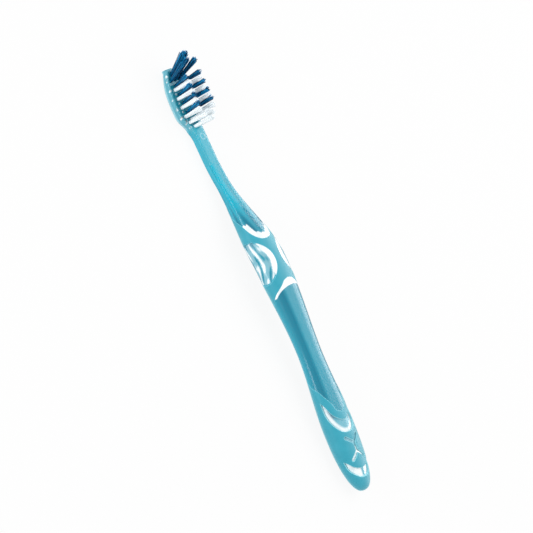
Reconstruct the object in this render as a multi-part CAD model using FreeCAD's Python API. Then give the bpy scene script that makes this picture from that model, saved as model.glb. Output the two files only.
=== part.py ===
import FreeCAD, Part
import math
import os

# Manual toothbrush in two mouldings: a clear body and a soft grip moulded round it,
# with bristle tufts held in the head by small metal anchors.
# While it is drawn, X runs from the head's tip to the tail, Z is the way the bristles point,
# and Z zero is the surface that the brush lies on with its back.

# Head plate
head_crown_length = 16.0
head_flank_length = 3.0
head_heel_length = 10.0
head_width = 12.0
head_tip_radius = 3.3
head_thickness = 4.0
head_back_round = 1.4
head_face_round = 0.5

# Neck and handle, each length measured from the one before
neck_root = 7.0
neck_length = 22.0
swell_length = 36.0
taper_length = 43.0
flare_length = 32.0
butt_length = 28.0
neck_width = 7.0
neck_depth = 5.05
grip_width = 16.0
grip_depth = 11.4
waist_width = 11.5
waist_depth = 8.2
tail_width = 15.1
tail_depth = 10.8
neck_axis_height = 3.0
crest_axis_height = 10.0
butt_axis_height = 4.65
crest_start = 6.0
crest_length = 8.0

# Soft grip: places are measured from the neck, the grip's widest place or the tail's widest place
soft_wall = 0.9
strip_start = 14.0
collar_start = -7.5
side_window_length = 18.8
side_window_shift = 1.1
panel_start = 10.8
panel_end = -5.6
tail_crescent_start = -11.9
tail_crescent_length = 15.1
tail_crescent_band = 5.3
end_crescent_start = 14.0
end_crescent_length = 8.6
end_crescent_band = 3.6
groove_width = 1.2
groove_start = 8.1
groove_stem = 3.6
groove_arm = 2.9
groove_spread = 3.3

# Tuft holes, tufts and anchors
hole_diameter = 1.5
hole_depth = 3.0
tuft_clearance = 0.03
tuft_tip_diameter = 1.64
row_pitch = 3.9
blue_first_row = 7.7
blue_offset = 1.15
blue_length = 11.6
white_first_row = 9.3
white_length = 10.9
heel_first_row = 23.8
heel_row_pitch = 2.2
heel_end_offset = 1.06
heel_inner_step = 0.9
heel_inner_offset = 0.9
heel_length = 10.6
tip_first_row = 2.9
tip_row_pitch = 2.3
tip_pair_offset = 0.95
tip_length = 12.6
anchor_bite = 0.2
anchor_thickness = 0.3
anchor_height = 1.2
anchor_floor = 0.5

# How far cutting tools run past what they cut
overrun = 1.0

# Counts and angles in degrees
blue_rows = 4
white_rows = 4
tuft_lobes = 8
outline_points = 16
fan_points = 9
window_fans = 11
blue_lean = 3.5
blue_splay = 15.0
white_splay = 3.0
tip_lean = 25.0
tip_side_lean = 17.0
tip_side_splay = 6.0
side_window_centre_angle = 85.0
side_window_half_angle = 71.0
tip_angle = 1.5

# Roundness of outlines: at 2 they are oval, and above it squarer
round_power = 2.0
neck_power = 5.0
butt_power = 2.5

# Shares of the sizes that they follow
root_share = 0.8
butt_station_shares = [0.0, 0.25, 0.48, 0.66, 0.8, 0.9, 0.96, 0.985, 0.996]
edge_column_shares = [0.5, 0.535, 0.545, 0.56]
heel_edge_share = 0.54
tip_side_share = 0.58
lobe_valley_share = 0.88
fan_reach_share = 1.35
# Bare openings as (share of the length, half angle as a share of a half turn)
neck_opening_shares = [(0.0, 0.92), (0.173, 0.88), (0.336, 0.83), (0.44, 0.785), (0.547, 0.735),
                       (0.653, 0.635), (0.717, 0.5), (0.781, 0.367), (0.9, 0.25), (0.98, 0.122)]
panel_shares = [(0.011, 0.094), (0.036, 0.172), (0.058, 0.267), (0.091, 0.405), (0.16, 0.61),
                (0.26, 0.685), (0.42, 0.7), (0.58, 0.685), (0.681, 0.645), (0.755, 0.545),
                (0.804, 0.367), (0.882, 0.211), (0.93, 0.14), (0.977, 0.1)]
crescent_outer_shares = [(0.0, 0.395), (0.38, 0.372), (0.67, 0.289), (0.86, 0.194), (0.96, 0.111)]
crescent_inner_shares = [(0.0, 0.395), (0.22, 0.322), (0.63, 0.228), (0.9, 0.111)]

# Stations along the brush, measured from the head's tip
flank_station = head_crown_length + head_flank_length
heel_middle = flank_station + head_heel_length / 2
neck_station = flank_station + head_heel_length
root_station = neck_station - neck_root
swell_station = neck_station + neck_length
grip_station = swell_station + swell_length
waist_station = grip_station + taper_length
tail_station = waist_station + flare_length
end_station = tail_station + butt_length
crest_station = grip_station + crest_start


def ease(share):
    # Smooth step from 0 to 1 with level ends
    held = min(max(share, 0.0), 1.0)
    return held * held * (3.0 - 2.0 * held)


def follow(keys, station):
    # Value at a station, eased between keys of a station and a value
    if station <= keys[0][0]:
        return keys[0][1]
    for low, high in zip(keys, keys[1:]):
        if station <= high[0]:
            return low[1] + (high[1] - low[1]) * ease((station - low[0]) / (high[0] - low[0]))
    return keys[-1][1]


width_keys = [(root_station, neck_width * root_share), (neck_station, neck_width),
              (swell_station, neck_width), (grip_station, grip_width),
              (waist_station, waist_width), (tail_station, tail_width)]
depth_keys = [(root_station, head_thickness * root_share), (neck_station, neck_depth),
              (swell_station, neck_depth), (grip_station, grip_depth),
              (waist_station, waist_depth), (tail_station, tail_depth)]
axis_keys = [(root_station, head_thickness / 2), (neck_station, neck_axis_height),
             (neck_station + neck_length / 2, neck_axis_height), (crest_station, crest_axis_height),
             (crest_station + crest_length, crest_axis_height), (end_station, butt_axis_height)]
power_keys = [(swell_station, neck_power), (grip_station + collar_start, round_power)]


def drawn_in(power):
    # Share of its size that a squarer section keeps, so that its corners reach no further than an oval
    return math.sqrt(2.0) / 2.0 ** ((power - 1.0) / power)


def section_size(station, inset):
    # Half width, half depth and axis height of the handle at a station, drawn in by an inset
    kept_share = drawn_in(follow(power_keys, station))
    half_width = kept_share * follow(width_keys, station) / 2 - inset
    half_depth = kept_share * follow(depth_keys, station) / 2 - inset
    if station > tail_station:
        reach = (station - tail_station) / (butt_length - inset)
        closing = max(1.0 - reach ** butt_power, 0.0) ** (1.0 / butt_power)
        half_width = half_width * closing
        half_depth = half_depth * closing
    return half_width, half_depth, follow(axis_keys, station)


def rim_point(station, angle, scale, inset):
    # Point round a section: angle 0 is the bristle side, a positive angle goes to minus Y
    half_width, half_depth, axis = section_size(station, inset)
    power = follow(power_keys, station)
    sine = math.sin(math.radians(angle))
    cosine = math.cos(math.radians(angle))
    reach = scale * (abs(sine) ** power + abs(cosine) ** power) ** (-1.0 / power)
    return FreeCAD.Vector(station, -half_width * reach * sine, axis + half_depth * reach * cosine)


def smooth_edge(points, closed):
    # Curve through the points, which it passes at even steps, so that sections loft with few knots
    steps = [float(index) for index in range(len(points) + closed)]
    curve = Part.BSplineCurve()
    curve.interpolate(Points=points, PeriodicFlag=closed, Parameters=steps)
    return curve.toShape()


def oval(station, inset):
    # Section of the handle square to X
    points = []
    for index in range(outline_points):
        points.append(rim_point(station, 360.0 * index / outline_points, 1.0, inset))
    return Part.Wire([smooth_edge(points, True)])


def handle_form(start, inset):
    # The handle's outer form, or its core when drawn in, lofted from a start to the tail's end
    spans = [(start, swell_station, 4), (swell_station, grip_station, 5),
             (grip_station, waist_station, 5), (waist_station, tail_station, 4)]
    stations = []
    for low, high, count in spans:
        for index in range(count):
            stations.append(low + (high - low) * index / count)
    for share in butt_station_shares:
        stations.append(tail_station + (butt_length - inset) * share)
    return Part.makeLoft([oval(station, inset) for station in stations], True)


def fan(station, low, high):
    # Sector of a section from its axis to well outside it, between two angles
    apex = FreeCAD.Vector(station, 0, section_size(station, 0.0)[2])
    points = []
    for index in range(fan_points):
        angle = low + (high - low) * index / (fan_points - 1)
        points.append(rim_point(station, angle, fan_reach_share, 0.0))
    return Part.Wire([Part.LineSegment(apex, points[0]).toShape(), smooth_edge(points, False),
                      Part.LineSegment(points[-1], apex).toShape()])


def front_opening(start, length, shares, pointed_start):
    # Opening symmetric about the bristle side, with its half angle given along its length
    fans = []
    if pointed_start:
        fans.append(fan(start, -tip_angle, tip_angle))
    for share, half_angle_share in shares:
        half_angle = 180.0 * half_angle_share
        fans.append(fan(start + length * share, -half_angle, half_angle))
    fans.append(fan(start + length, -tip_angle, tip_angle))
    return Part.makeLoft(fans, True)


def side_window(side):
    # Oval window on one flank
    centre = grip_station + side_window_shift
    fans = []
    for index in range(window_fans):
        along = -math.cos(math.pi * index / (window_fans - 1))
        half_angle = max(side_window_half_angle * math.sqrt(1.0 - along * along), tip_angle)
        low = side * (side_window_centre_angle - half_angle)
        high = side * (side_window_centre_angle + half_angle)
        fans.append(fan(centre + side_window_length / 2 * along, min(low, high), max(low, high)))
    return Part.makeLoft(fans, True)


def crescent(start, length, band):
    # Crescent window: an outer tongue less an inner tongue that stops a band short of its end
    outer = front_opening(start, length, crescent_outer_shares, False)
    inner = front_opening(start, length - band, crescent_inner_shares, False)
    return outer.cut(inner)


def slot(start, end, bottom, top):
    # Round-ended slot standing upright between two places
    along = FreeCAD.Vector(end[0] - start[0], end[1] - start[1], 0)
    radius = groove_width / 2
    up = FreeCAD.Vector(0, 0, top - bottom)
    square = FreeCAD.Vector(-along.y, along.x, 0).normalize().multiply(radius)
    first = FreeCAD.Vector(start[0], start[1], bottom)
    last = FreeCAD.Vector(end[0], end[1], bottom)
    way = FreeCAD.Vector(along).normalize().multiply(radius)
    edges = [Part.LineSegment(first + square, last + square).toShape(),
             Part.Arc(last + square, last + way, last - square).toShape(),
             Part.LineSegment(last - square, first - square).toShape(),
             Part.Arc(first - square, first - way, first + square).toShape()]
    return Part.Face(Part.Wire(edges)).extrude(up)


def branch_groove():
    # Groove with a short stem that forks at both ends
    bottom = section_size(tail_station, 0.0)[2]
    top = bottom + tail_depth
    stem_start = tail_station + groove_start
    stem_end = stem_start + groove_stem
    groove = slot((stem_start, 0), (stem_end, 0), bottom, top)
    for side in (1, -1):
        spread = side * groove_spread
        groove = groove.fuse(slot((stem_start, 0), (stem_start - groove_arm, spread), bottom, top))
        groove = groove.fuse(slot((stem_end, 0), (stem_end + groove_arm, spread), bottom, top))
    return groove


def crown_side_radius():
    # Radius of the long arcs that run from the tip arc to the flanks without a corner
    half = head_width / 2
    legs = head_crown_length ** 2 + half ** 2 - 2 * head_crown_length * head_tip_radius
    return legs / (2 * (half - head_tip_radius))


def tip_arc_end():
    # Station where the tip arc meets the long arcs
    share = head_tip_radius / (crown_side_radius() - head_tip_radius)
    return head_tip_radius - (head_crown_length - head_tip_radius) * share


def head_half_width(station):
    # Plan of the head: a tip arc, a long arc, a straight flank and a shoulder of two arcs to the neck
    half = head_width / 2
    if station < tip_arc_end():
        return math.sqrt(head_tip_radius ** 2 - (head_tip_radius - station) ** 2)
    if station < head_crown_length:
        radius = crown_side_radius()
        return half - radius + math.sqrt(radius ** 2 - (head_crown_length - station) ** 2)
    if station < flank_station:
        return half
    root_half = neck_width * root_share / 2
    drop = half - root_half
    radius = (head_heel_length ** 2 + drop ** 2) / (4 * drop)
    if station < heel_middle:
        return half - radius + math.sqrt(radius ** 2 - (station - flank_station) ** 2)
    return root_half + radius - math.sqrt(radius ** 2 - (neck_station - station) ** 2)


def plan_point(station, side):
    return FreeCAD.Vector(station, side * head_half_width(station), 0)


def plan_arc(low, high, side):
    middle = plan_point((low + high) / 2, side)
    return Part.Arc(plan_point(low, side), middle, plan_point(high, side)).toShape()


def rim_edges(plate, low, high):
    # Edges of the plate between two heights, all but those inside the neck
    edges = []
    for edge in plate.Edges:
        box = edge.BoundBox
        if box.ZMin > low and box.ZMax < high and box.XMin < neck_station - head_back_round:
            edges.append(edge)
    return edges


def heel_ramp():
    # Wedge under the heel, cut away so that the plate's back rises to the neck's
    half_width, half_depth, axis = section_size(neck_station, 0.0)
    far = neck_station + overrun
    corners = [(heel_middle, 0), (neck_station, axis - half_depth), (far, axis - half_depth), (far, -overrun),
               (heel_middle, -overrun)]
    points = [FreeCAD.Vector(station, -head_width, height) for station, height in corners]
    return Part.Face(Part.makePolygon(points + points[:1])).extrude(FreeCAD.Vector(0, 2 * head_width, 0))


def head_plate():
    # Flat plate with a round-edged back and a lightly eased bristle face
    meeting = tip_arc_end()
    tip = FreeCAD.Vector(0, 0, 0)
    edges = [Part.Arc(plan_point(meeting, -1), tip, plan_point(meeting, 1)).toShape()]
    for side in (1, -1):
        flank = Part.LineSegment(plan_point(head_crown_length, side), plan_point(flank_station, side))
        edges.append(plan_arc(meeting, head_crown_length, side))
        edges.append(flank.toShape())
        edges.append(plan_arc(flank_station, heel_middle, side))
        edges.append(plan_arc(heel_middle, neck_station, side))
    edges.append(Part.LineSegment(plan_point(neck_station, 1), plan_point(neck_station, -1)).toShape())
    outline = Part.Wire(Part.__sortEdges__(edges))
    plate = Part.Face(outline).extrude(FreeCAD.Vector(0, 0, head_thickness))
    plate = plate.makeFillet(head_back_round, rim_edges(plate, -overrun, head_thickness / 2))
    face_low = head_thickness - head_face_round / 2
    plate = plate.makeFillet(head_face_round, rim_edges(plate, face_low, head_thickness + overrun))
    return plate.cut(heel_ramp())


def lobed_outline(radius, height):
    # Fluted outline, as a bundle of filaments shows
    points = []
    for index in range(2 * tuft_lobes):
        turn = math.pi * index / tuft_lobes
        reach = radius if index % 2 else radius * lobe_valley_share
        points.append(FreeCAD.Vector(reach * math.cos(turn), reach * math.sin(turn), height))
    return Part.makePolygon(points + points[:1])


def bundle(length, lean, splay):
    # A tuft over its hole: upright up to the head's face, then leaning and flaring to a level tip
    mouth_radius = hole_diameter / 2 - tuft_clearance
    base = lobed_outline(mouth_radius, -hole_depth)
    mouth = lobed_outline(mouth_radius, 0)
    way = FreeCAD.Rotation(FreeCAD.Vector(0, 1, 0), -lean) * FreeCAD.Rotation(FreeCAD.Vector(1, 0, 0), -splay)
    tip = lobed_outline(tuft_tip_diameter / 2, 0)
    tip.translate(way.multVec(FreeCAD.Vector(0, 0, length)))
    return Part.makeLoft([base, mouth, tip], True, True)


def hole():
    return Part.makeCylinder(hole_diameter / 2, hole_depth + overrun, FreeCAD.Vector(0, 0, -hole_depth))


def anchor():
    # Flat metal strip across the hole, biting a little into both walls
    length = hole_diameter + 2 * anchor_bite
    corner = FreeCAD.Vector(-length / 2, -anchor_thickness / 2, anchor_floor - hole_depth)
    return Part.makeBox(length, anchor_thickness, anchor_height, corner)


def tuft_places():
    # Name, station, place across, length, lean to the tip and outward splay of every tuft
    places = []
    second = tip_first_row + tip_row_pitch
    side_offset = tip_side_share * head_half_width(second)
    for side, word in ((-1, "left"), (1, "right")):
        places.append(("tip_tuft_" + word, tip_first_row, side * tip_pair_offset, tip_length, tip_lean, 0))
        places.append(("tip_side_tuft_" + word, second, side * side_offset, tip_length, tip_side_lean,
                       side * tip_side_splay))
        for row in range(blue_rows):
            station = blue_first_row + row * row_pitch
            name = "blue_tuft_%s_%d" % (word, row + 1)
            places.append((name, station, side * blue_offset, blue_length, blue_lean, side * blue_splay))
        for row in range(white_rows):
            station = white_first_row + row * row_pitch
            offset = edge_column_shares[row % len(edge_column_shares)] * head_half_width(station)
            name = "white_tuft_%s_%d" % (word, row + 1)
            places.append((name, station, side * offset, white_length, 0, side * white_splay))
        heel_edge_offset = heel_edge_share * head_half_width(heel_first_row)
        heel_places = [(heel_first_row, heel_edge_offset), (heel_first_row + heel_row_pitch, heel_end_offset),
                       (heel_first_row - heel_inner_step, heel_inner_offset)]
        for index, (station, offset) in enumerate(heel_places):
            name = "heel_tuft_%s_%d" % (word, index + 1)
            places.append((name, station, side * offset, heel_length, 0, 0))
    places.append(("tip_middle_tuft", second, 0, tip_length, tip_lean, 0))
    return places


def brush_head():
    # Tufts with their anchors, and the holes and slots that these leave in the head
    tufts = {}
    anchors = []
    seats = []
    for name, station, across, length, lean, splay in tuft_places():
        mouth = FreeCAD.Vector(station, across, head_thickness)
        strip = anchor().translate(mouth)
        anchors.append(strip)
        tufts[name] = bundle(length, lean, splay).translate(mouth).cut(strip)
        seats.append(hole().translate(mouth).fuse(strip))
    return tufts, anchors, seats


def soft_shell(form):
    # Skin of the handle that the soft grip fills, less the openings where the clear body shows
    start = neck_station + strip_start
    bare_head = Part.makeBox(start, 2 * grip_width, 2 * crest_axis_height + grip_depth,
                             FreeCAD.Vector(0, -grip_width, -crest_axis_height))
    shell = form.cut(handle_form(neck_station, soft_wall)).cut(bare_head)
    collar_station = grip_station + collar_start
    panel_station = grip_station + panel_start
    panel_length = tail_station + panel_end - panel_station
    opening_start = start - overrun
    tools = [front_opening(opening_start, collar_station - opening_start, neck_opening_shares, False),
             front_opening(panel_station, panel_length, panel_shares, True),
             side_window(1), side_window(-1)]
    for tool in tools:
        shell = shell.cut(tool)
    return shell


def tail_windows():
    # Recessed windows in the tail, which stop at the clear core
    return [crescent(tail_station + tail_crescent_start, tail_crescent_length, tail_crescent_band),
            crescent(tail_station + end_crescent_start, end_crescent_length, end_crescent_band),
            branch_groove()]


def main():
    form = handle_form(root_station, 0.0)
    shell = soft_shell(form)
    tufts, anchors, seats = brush_head()
    below = Part.makeBox(end_station + 2 * overrun, 2 * grip_width, grip_depth,
                         FreeCAD.Vector(-overrun, -grip_width, -grip_depth))
    body = form.fuse(head_plate()).cut(shell).cut(seats).cut(below)
    grip = shell.cut(tail_windows()).cut(below)
    nodes = {"handle_body": body, "soft_grip": grip, "tuft_anchors": Part.makeCompound(anchors)}
    nodes.update(tufts)

    # Origin under the middle of the whole brush, on the surface that it lies on
    box = Part.makeCompound(list(nodes.values())).BoundBox
    shift = FreeCAD.Vector(-(box.XMin + box.XMax) / 2, 0, 0)
    os.makedirs("parts", exist_ok=True)
    for name, shape in nodes.items():
        shape.translate(shift)
        shape.exportStep("parts/" + name + ".step")
        print(name, shape.isValid(), len(shape.Solids), round(shape.Volume, 2))
    print("shift along X", round(shift.x, 4), "box", box)


main()
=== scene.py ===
import math
import random

import bpy
import numpy as np
from mathutils import Matrix, Vector


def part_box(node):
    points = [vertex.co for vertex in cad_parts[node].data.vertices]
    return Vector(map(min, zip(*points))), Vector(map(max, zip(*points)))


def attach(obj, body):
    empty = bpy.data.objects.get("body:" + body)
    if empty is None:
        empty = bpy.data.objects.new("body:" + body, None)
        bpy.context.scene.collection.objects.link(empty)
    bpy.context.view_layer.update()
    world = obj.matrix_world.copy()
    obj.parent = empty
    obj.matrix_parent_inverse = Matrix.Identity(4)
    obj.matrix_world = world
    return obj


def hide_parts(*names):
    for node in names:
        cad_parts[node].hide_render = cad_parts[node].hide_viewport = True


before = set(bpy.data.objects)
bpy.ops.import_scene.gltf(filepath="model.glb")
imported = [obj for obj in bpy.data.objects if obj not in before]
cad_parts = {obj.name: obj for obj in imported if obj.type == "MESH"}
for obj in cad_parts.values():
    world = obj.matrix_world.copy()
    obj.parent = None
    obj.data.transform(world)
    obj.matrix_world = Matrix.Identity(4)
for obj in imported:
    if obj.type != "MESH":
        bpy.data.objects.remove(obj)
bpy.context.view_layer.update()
print("frame loaded:", len(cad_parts), "nodes")

# Shapes are worked out in millimetres, with stations measured from the head's tip along the brush.
# Turns go round the handle: 0 is the bristle side, and positive turns go to the side of minus Y.
mm = 0.001
farAway = 1e9
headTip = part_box("handle_body")[0].x / mm


def srgb(red, green, blue):
    linear = []
    for value in (red, green, blue):
        share = value / 255
        linear.append(share / 12.92 if share <= 0.04045 else ((share + 0.055) / 1.055) ** 2.4)
    return (*linear, 1.0)


# Shader building

class Value:
    # A node's output that can be used in sums

    def __init__(self, shader, socket):
        self.shader = shader
        self.socket = socket

    def math(self, operation, first, second):
        return self.shader.node("ShaderNodeMath", {"operation": operation}, {0: first, 1: second})

    def __add__(self, other):
        return self.math("ADD", self, other)

    __radd__ = __add__

    def __sub__(self, other):
        return self.math("SUBTRACT", self, other)

    def __rsub__(self, other):
        return self.math("SUBTRACT", other, self)

    def __mul__(self, other):
        return self.math("MULTIPLY", self, other)

    __rmul__ = __mul__

    def smooth(self, low, high):
        return self.shader.node("ShaderNodeMapRange", {"interpolation_type": "SMOOTHSTEP"},
                                {"Value": self, "From Min": low, "From Max": high})


class Shader:
    # The nodes of a material or a world under construction

    def __init__(self, owner):
        self.owner = owner
        owner.use_nodes = True
        self.tree = owner.node_tree
        self.tree.nodes.clear()

    def node(self, kind, settings, inputs, output=0):
        made = self.tree.nodes.new(kind)
        for key, value in settings.items():
            setattr(made, key, value)
        for key, value in inputs.items():
            if isinstance(value, Value):
                self.tree.links.new(value.socket, made.inputs[key])
            else:
                made.inputs[key].default_value = value
        return Value(self, made.outputs[output]) if made.outputs else None

    def principled(self, inputs):
        return self.node("ShaderNodeBsdfPrincipled", {}, inputs)

    def layer(self, share, under, over):
        return self.node("ShaderNodeMixShader", {}, {0: share, 1: under, 2: over})

    def mix(self, factor, first, second):
        return self.node("ShaderNodeMix", {"data_type": "RGBA"}, {0: factor, 6: first, 7: second}, 2)

    def noise(self, scale, detail, stretch):
        place = self.node("ShaderNodeTexCoord", {}, {}, "Object")
        stretched = self.node("ShaderNodeVectorMath", {"operation": "MULTIPLY"}, {0: place, 1: stretch})
        return self.node("ShaderNodeTexNoise", {}, {"Vector": stretched, "Scale": scale, "Detail": detail})

    def bump(self, height, strength, distance):
        return self.node("ShaderNodeBump", {}, {"Height": height, "Strength": strength, "Distance": distance})

    def attribute(self, name):
        return self.node("ShaderNodeAttribute", {"attribute_name": name}, {}, "Fac")

    def directRay(self):
        # One for rays that the camera, a reflection or a refraction sends
        kinds = [self.node("ShaderNodeLightPath", {}, {}, name)
                 for name in ("Is Camera Ray", "Is Glossy Ray", "Is Transmission Ray")]
        either = self.node("ShaderNodeMath", {"operation": "MAXIMUM"}, {0: kinds[0], 1: kinds[1]})
        return self.node("ShaderNodeMath", {"operation": "MAXIMUM"}, {0: either, 1: kinds[2]})

    def output(self, links, kind="ShaderNodeOutputMaterial"):
        self.node(kind, {}, links)
        return self.owner


# Form of the handle, shared by the clear body and the soft grip

form = {
    "root": 22.0, "neck": 29.0, "swell": 51.0, "grip": 87.0, "waist": 130.0, "tail": 162.0, "end": 190.0,
    "rootWidth": 5.6, "neckWidth": 7.0, "gripWidth": 16.0, "waistWidth": 11.5, "tailWidth": 15.1,
    "rootDepth": 3.2, "neckDepth": 5.05, "gripDepth": 11.4, "waistDepth": 8.2, "tailDepth": 10.8,
    "rootAxis": 2.0, "neckAxis": 3.0, "crestAxis": 10.0, "buttAxis": 4.65,
    "neckAxisEnd": 40.0, "crestStart": 93.0, "crestEnd": 101.0,
    "buttPower": 2.5, "leastGirth": 1e-6,
    "powers": [(51.0, 5.0), (79.5, 2.0)],
}


def ease(share):
    held = np.clip(share, 0.0, 1.0)
    return held * held * (3.0 - 2.0 * held)


def follow(keys, station):
    value = np.full_like(station, keys[0][1])
    for low, high in zip(keys, keys[1:]):
        value = value + (high[1] - low[1]) * ease((station - low[0]) / (high[0] - low[0]))
    return value


def sectionSize(station):
    # Half width, half depth and axis height of the handle
    places = [form[name] for name in ("root", "neck", "swell", "grip", "waist", "tail")]
    widths = [form[name + "Width"] for name in ("root", "neck", "neck", "grip", "waist", "tail")]
    depths = [form[name + "Depth"] for name in ("root", "neck", "neck", "grip", "waist", "tail")]
    axisPlaces = [form[name] for name in ("root", "neck", "neckAxisEnd", "crestStart", "crestEnd", "end")]
    axes = [form[name + "Axis"] for name in ("root", "neck", "neck", "crest", "crest", "butt")]
    reach = np.clip((station - form["tail"]) / (form["end"] - form["tail"]), 0.0, 1.0)
    closing = (1.0 - reach ** form["buttPower"]) ** (1.0 / form["buttPower"])
    power = follow(form["powers"], station)
    slim = slimming(power)
    halfWidth = follow(list(zip(places, widths)), station) / 2 * closing * slim
    halfDepth = follow(list(zip(places, depths)), station) / 2 * closing * slim
    return halfWidth, halfDepth, follow(list(zip(axisPlaces, axes)), station)


def slimming(power):
    # A squarer section is drawn in, so that it keeps its breadth across the corners
    partner = power / (power - 1.0)
    return np.sqrt(2.0) / 2.0 ** (1.0 / partner)


def unitSection(turn, power):
    # Section of unit size: an oval at power two, and squarer above it
    reach = (np.abs(np.sin(turn)) ** power + np.abs(np.cos(turn)) ** power) ** (-1.0 / power)
    return reach * np.sin(turn), reach * np.cos(turn)


def handlePoint(station, turn, proud):
    # Points round the handle, raised above its surface by proud
    halfWidth, halfDepth, axis = sectionSize(station)
    sine, cosine = unitSection(turn, follow(form["powers"], station))
    across = -np.maximum(halfWidth + proud, 0.0) * sine
    up = axis + np.maximum(halfDepth + proud, 0.0) * cosine
    return np.stack([station + 0.0 * turn, across, np.maximum(up, 0.0)], -1)


def girth(station):
    # Mean radius of the handle, which turns angles into lengths round it
    halfWidth, halfDepth, axis = sectionSize(station)
    return np.sqrt((halfWidth ** 2 + halfDepth ** 2) / 2) + form["leastGirth"]


def meshPiece(name, points, faces, material, node):
    mesh = bpy.data.meshes.new(name)
    placed = (np.asarray(points) + [headTip, 0.0, 0.0]) * mm
    mesh.from_pydata(placed.tolist(), [], faces)
    mesh.update()
    mesh.polygons.foreach_set("use_smooth", [True] * len(mesh.polygons))
    mesh.materials.append(material)
    piece = bpy.data.objects.new(name, mesh)
    bpy.context.scene.collection.objects.link(piece)
    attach(piece, "root")
    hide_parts(node)
    return piece


# Outlines of the soft grip, drawn as station and turn in degrees

grip = {
    "wall": 0.9, "proud": 0.1, "bead": 0.22, "beadRadius": 0.35, "start": 43.0,
    "stationStep": 0.3, "turnStep": 2.0, "endZone": 8.0, "endSteps": 30, "capStart": 180.0,
    "neckOpening": [(40.0, 167.0), (48.5, 158.0), (54.6, 149.0), (58.5, 141.0), (62.5, 132.0), (66.5, 114.0),
                    (68.9, 90.0), (71.3, 66.0), (75.8, 45.0), (78.8, 22.0), (79.5, 0.0)],
    "panel": [(97.8, 0.0), (98.4, 17.0), (99.9, 31.0), (101.2, 48.0), (103.1, 73.0), (107.2, 110.0),
              (113.0, 123.0), (122.4, 126.0), (131.8, 123.0), (137.7, 116.0), (142.0, 98.0),
              (144.9, 66.0), (149.5, 38.0), (152.3, 25.2), (155.0, 18.0), (156.4, 0.0)],
    "sideWindow": {"centre": 88.1, "turn": 85.0, "halfLength": 9.4, "halfTurn": 71.0, "corners": 72},
    "tailCrescent": {"inner": [(150.1, 71.0), (152.3, 58.0), (156.3, 41.0), (158.9, 20.0), (159.9, 0.0)],
                     "outer": [(150.1, 71.0), (155.9, 67.0), (160.2, 52.0), (163.1, 35.0), (164.6, 20.0),
                               (165.2, 0.0)]},
    "endCrescent": {"inner": [(176.0, 71.0), (177.1, 58.0), (179.2, 41.0), (180.5, 20.0), (181.0, 0.0)],
                    "outer": [(176.0, 71.0), (179.3, 67.0), (181.8, 52.0), (183.4, 35.0), (184.3, 20.0),
                              (184.6, 0.0)]},
    "groove": {"width": 1.2, "start": 170.1, "stem": 3.6, "arm": 2.9, "spread": 3.3, "backDistance": 9.0},
}


def smoothLine(corners, steps=8):
    # Dense line through the corners, with even tangents
    corners = np.array(corners, float)
    before = np.vstack([2 * corners[:1] - corners[1:2], corners[:-2], corners[-3:-2]])[: len(corners) - 1]
    after = np.vstack([corners[2:], 2 * corners[-1:] - corners[-2:-1]])
    line = []
    for first, start, end, last in zip(before, corners[:-1], corners[1:], after):
        for step in range(steps):
            share = step / steps
            pull = (end - first) / 2
            push = (last - start) / 2
            line.append(start * (1 - share) ** 2 * (1 + 2 * share) + end * share ** 2 * (3 - 2 * share)
                        + pull * share * (1 - share) ** 2 - push * share ** 2 * (1 - share))
    line.append(corners[-1])
    return [tuple(point) for point in line]


def mirrored(half):
    # Closed outline from one half that starts and may end on the bristle side
    full = half + [(station, -turn) for station, turn in reversed(half)]
    return smoothLine(full)


def outlineDistance(outline, station, turn):
    # Distance in millimetres to a closed outline on the handle, negative inside it
    places = np.array([point[0] for point in outline])
    lengths = np.radians([point[1] for point in outline]) * girth(places)
    along = station
    around = turn * girth(station)
    nearest = np.full(station.shape, farAway)
    inside = np.zeros(station.shape, bool)
    count = len(outline)
    for index in range(count):
        x0, y0 = places[index], lengths[index]
        x1, y1 = places[(index + 1) % count], lengths[(index + 1) % count]
        dx, dy = x1 - x0, y1 - y0
        square = dx * dx + dy * dy
        if square == 0:
            continue
        share = np.clip(((along - x0) * dx + (around - y0) * dy) / square, 0.0, 1.0)
        nearest = np.minimum(nearest, (along - x0 - share * dx) ** 2 + (around - y0 - share * dy) ** 2)
        if dy != 0:
            crosses = (y0 > around) != (y1 > around)
            inside ^= crosses & (along < x0 + (around - y0) * dx / dy)
    distance = np.sqrt(nearest)
    return np.where(inside, -distance, distance)


def windowOutline(side):
    window = grip["sideWindow"]
    outline = []
    for step in range(window["corners"]):
        angle = math.tau * step / window["corners"]
        outline.append((window["centre"] + window["halfLength"] * math.cos(angle),
                        side * (window["turn"] + window["halfTurn"] * math.sin(angle))))
    return outline


def crescentOutline(crescent):
    outer, inner = (smoothLine(half + [(place, -turn) for place, turn in reversed(half[:-1])])
                    for half in (crescent["outer"], crescent["inner"]))
    return outer + inner[::-1]


def grooveDistance(station, turn):
    # Distance to the forked groove, drawn upright through the bristle side
    groove = grip["groove"]
    across = sectionSize(station)[0] * np.sin(turn)
    stemEnd = groove["start"] + groove["stem"]
    strokes = [(groove["start"], 0.0, stemEnd, 0.0)]
    for side in (1, -1):
        strokes.append((groove["start"], 0.0, groove["start"] - groove["arm"], side * groove["spread"]))
        strokes.append((stemEnd, 0.0, stemEnd + groove["arm"], side * groove["spread"]))
    nearest = np.full(station.shape, farAway)
    for x0, y0, x1, y1 in strokes:
        dx, dy = x1 - x0, y1 - y0
        share = np.clip(((station - x0) * dx + (across - y0) * dy) / (dx * dx + dy * dy), 0.0, 1.0)
        nearest = np.minimum(nearest, np.hypot(station - x0 - share * dx, across - y0 - share * dy))
    return np.where(np.cos(turn) > 0, nearest - groove["width"] / 2, groove["backDistance"])


def tailWindowDistance(station, turn):
    distance = grooveDistance(station, turn)
    for name in ("tailCrescent", "endCrescent"):
        distance = np.minimum(distance, outlineDistance(crescentOutline(grip[name]), station, turn))
    return distance


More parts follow.
